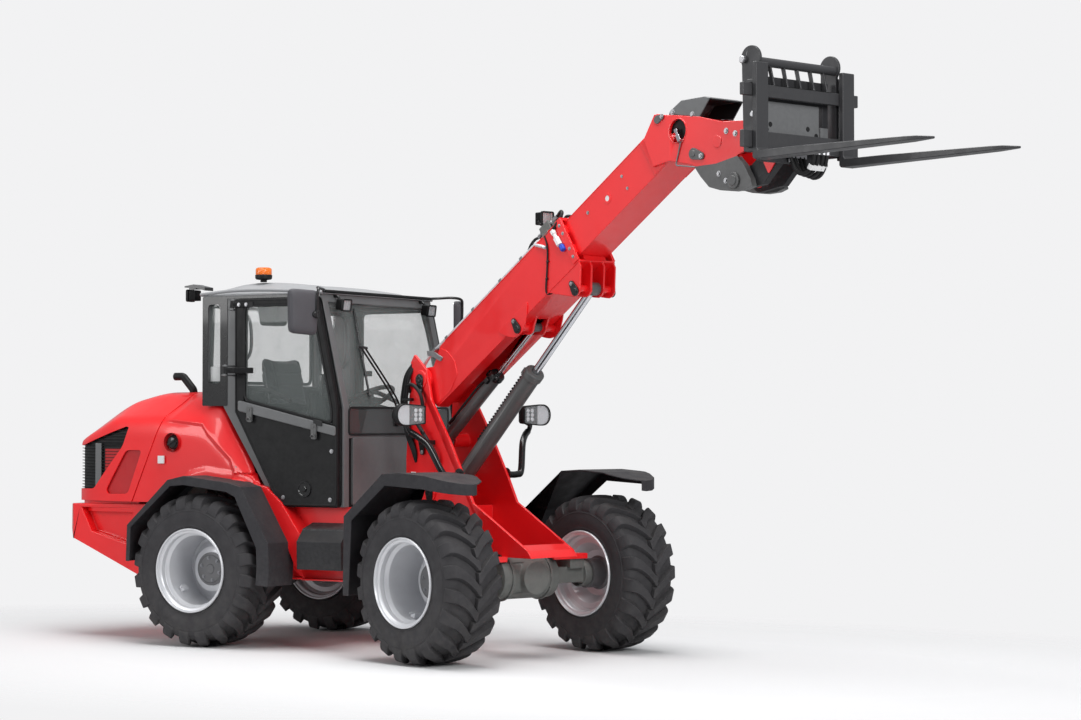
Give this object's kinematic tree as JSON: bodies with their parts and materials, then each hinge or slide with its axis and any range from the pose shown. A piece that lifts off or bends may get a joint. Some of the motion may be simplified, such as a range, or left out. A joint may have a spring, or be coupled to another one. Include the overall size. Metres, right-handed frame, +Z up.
{
  "type": "telescopic wheel loader",
  "caption": "Articulated telescopic wheel loader with a glazed cab, two-stage boom raised forward and pallet forks on a tilting quick-hitch carriage.",
  "frame": {"origin": "on the ground, under the middle of the whole machine's bounding box at rest, with the boom raised and the front frame turned 18 degrees to its right", "axes": "+X forward along the rear frame, +Y to the machine's left, +Z up"},
  "size_m": [7.3202, 2.8626, 3.6069],
  "materials": {
    "red": "gloss",
    "dark_grey": "satin",
    "grey": "satin",
    "silver": "satin",
    "black": "matte",
    "rubber": "matte",
    "tyre": "matte",
    "glass": "clear",
    "chrome": "polished",
    "steel": "machined",
    "fabric": "woven",
    "amber": "gloss",
    "cast": "painted"
  },
  "bodies": {
    "rear_frame": {"rear_chassis": "red", "rear_axle": "cast", "engine_block": "cast", "counterweight": "red", "tow_coupling": "steel", "side_panels": "red", "rear_fenders": "dark_grey", "cab_frame": "dark_grey", "cab_base": "dark_grey", "roof": "black", "windscreen": "glass", "rear_windows": "glass", "body_sides": "red", "cab_steps": "dark_grey", "seat_base": "black", "seat": "fabric", "side_console": "black", "steering_wheel": "black", "beacon": "amber", "mirrors": "black", "cab_lights": "black", "fuel_cap": "black"},
    "hood": {"hood": "red", "hood_grilles": "black", "exhaust_pipe": "black"},
    "right_door": {"right_door": "dark_grey", "right_door_glass": "glass"},
    "left_door": {"left_door": "dark_grey", "left_door_glass": "glass"},
    "rear_left_wheel": {"rear_left_tyre": "tyre", "rear_left_rim": "silver"},
    "rear_right_wheel": {"rear_right_tyre": "tyre", "rear_right_rim": "silver"},
    "front_frame": {"front_chassis": "red", "front_axle": "cast", "front_fenders": "dark_grey", "headlights": "black"},
    "front_left_wheel": {"front_left_tyre": "tyre", "front_left_rim": "silver"},
    "front_right_wheel": {"front_right_tyre": "tyre", "front_right_rim": "silver"},
    "boom": {"boom": "red", "boom_pipes": "steel", "boom_light": "black"},
    "inner_boom": {"inner_boom": "red", "boom_head": "red", "head_cover": "dark_grey"},
    "tilt_frame": {"hitch": "red", "fork_carriage": "dark_grey", "forks": "dark_grey", "tool_hoses": "rubber"},
    "lift_barrel": {"lift_barrel": "grey"},
    "lift_rod": {"lift_rod": "chrome"},
    "level_barrel": {"level_barrel": "dark_grey"},
    "level_rod": {"level_rod": "chrome"},
    "tilt_barrel": {"tilt_barrel": "dark_grey"},
    "tilt_rod": {"tilt_rod": "chrome"}
  },
  "joints": [
    {"name": "steering", "type": "hinge", "parent": "rear_frame", "child": "front_frame", "pos_m": [-1.15908, 0.48129, 0.505], "axis": [0, 0, 1], "range_deg": [-21.65, 58.35]},
    {"name": "hood_lid", "type": "hinge", "parent": "rear_frame", "child": "hood", "pos_m": [-2.37408, 0.48129, 1.722], "axis": [0, 1, 0], "range_deg": [0, 55]},
    {"name": "right_door_hinge", "type": "hinge", "parent": "rear_frame", "child": "right_door", "pos_m": [-2.01408, -0.29871, 1.835], "axis": [0, -0.168, -0.9858], "range_deg": [0, 150]},
    {"name": "left_door_hinge", "type": "hinge", "parent": "rear_frame", "child": "left_door", "pos_m": [-2.01408, 1.26129, 1.835], "axis": [0, -0.168, 0.9858], "range_deg": [0, 150]},
    {"name": "rear_left_wheel_spin", "type": "hinge", "parent": "rear_frame", "child": "rear_left_wheel", "pos_m": [-2.17908, 1.21929, 0.508], "axis": [0, 1, 0], "continuous": true},
    {"name": "rear_right_wheel_spin", "type": "hinge", "parent": "rear_frame", "child": "rear_right_wheel", "pos_m": [-2.17908, -0.25671, 0.508], "axis": [0, 1, 0], "continuous": true},
    {"name": "front_left_wheel_spin", "type": "hinge", "parent": "front_frame", "child": "front_left_wheel", "pos_m": [0.26064, 0.78792, 0.508], "axis": [0.3148, 0.9492, 0], "continuous": true},
    {"name": "front_right_wheel_spin", "type": "hinge", "parent": "front_frame", "child": "front_right_wheel", "pos_m": [-0.20403, -0.61303, 0.508], "axis": [0.3148, 0.9492, 0], "continuous": true},
    {"name": "boom_lift", "type": "hinge", "parent": "front_frame", "child": "boom", "pos_m": [-0.68451, 0.32388, 1.77], "axis": [-0.3148, -0.9492, 0], "range_deg": [-45, 17]},
    {"name": "telescope", "type": "slide", "parent": "boom", "child": "inner_boom", "axis": [0.796, -0.264, 0.5446], "range_m": [-0.8, 0.1]},
    {"name": "fork_tilt", "type": "hinge", "parent": "inner_boom", "child": "tilt_frame", "pos_m": [1.98261, -0.56077, 2.88], "axis": [0.3148, 0.9492, 0], "range_deg": [-30, 60]},
    {"name": "lift_barrel_swing", "type": "hinge", "parent": "front_frame", "child": "lift_barrel", "pos_m": [-0.58959, 0.29239, 1.035], "axis": [-0.3148, -0.9492, 0], "range_deg": [-40, 16]},
    {"name": "lift_rod_slide", "type": "slide", "parent": "lift_barrel", "child": "lift_rod", "axis": [0.6877, -0.2281, 0.6893], "range_m": [-0.56, 0.22]},
    {"name": "level_barrel_swing", "type": "hinge", "parent": "front_frame", "child": "level_barrel", "pos_m": [-0.66552, 0.31758, 1.37], "axis": [-0.3148, -0.9492, 0], "range_deg": [-41, 16.5]},
    {"name": "level_rod_slide", "type": "slide", "parent": "level_barrel", "child": "level_rod", "axis": [0.7374, -0.2446, 0.6296], "range_m": [-0.3, 0.12]},
    {"name": "tilt_barrel_swing", "type": "hinge", "parent": "inner_boom", "child": "tilt_barrel", "pos_m": [1.49854, -0.40021, 3.165], "axis": [0.3148, 0.9492, 0], "range_deg": [-10.5, 20]},
    {"name": "tilt_rod_slide", "type": "slide", "parent": "tilt_barrel", "child": "tilt_rod", "axis": [0.9491, -0.3148, 0.007], "range_m": [-0.14, 0.27]}
  ],
  "couplings": [
    {"joint": "lift_barrel_swing", "follows": "boom_lift", "ratio": 0.855},
    {"joint": "lift_rod_slide", "follows": "boom_lift", "m_per_rad": 0.68},
    {"joint": "level_barrel_swing", "follows": "boom_lift", "ratio": 0.85},
    {"joint": "level_rod_slide", "follows": "boom_lift", "m_per_rad": 0.37},
    {"joint": "tilt_barrel_swing", "follows": "fork_tilt", "ratio": 0.31},
    {"joint": "tilt_rod_slide", "follows": "fork_tilt", "m_per_rad": 0.25}
  ]
}
